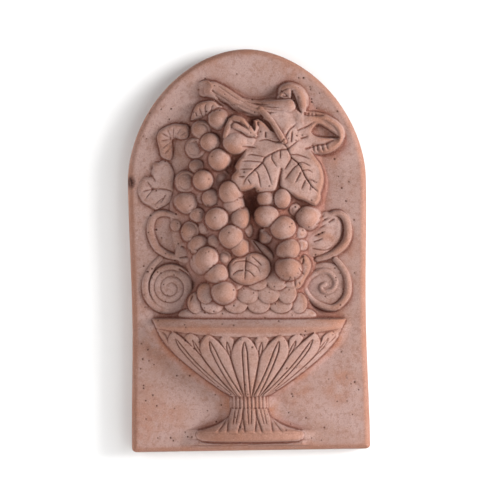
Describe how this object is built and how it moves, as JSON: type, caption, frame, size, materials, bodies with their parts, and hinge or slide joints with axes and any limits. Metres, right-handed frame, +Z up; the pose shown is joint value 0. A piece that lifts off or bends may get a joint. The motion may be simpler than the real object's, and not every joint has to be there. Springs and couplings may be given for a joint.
{
  "type": "wall plaque",
  "caption": "Arch-topped terracotta wall plaque with a footed urn, scrolled handles, vine leaves and bunches of grapes in deep relief; hangs flat against a wall.",
  "frame": {"origin": "centre of the flat back, on the wall's plane", "axes": "+Z up the plaque, +Y out of its back into the wall, -Y the way its face looks"},
  "size_m": [0.208, 0.051, 0.35],
  "materials": {
    "terracotta": "unglazed fired clay, pale pink bloom, matt"
  },
  "bodies": {
    "root": {"plaque": "terracotta"}
  },
  "joints": []
}
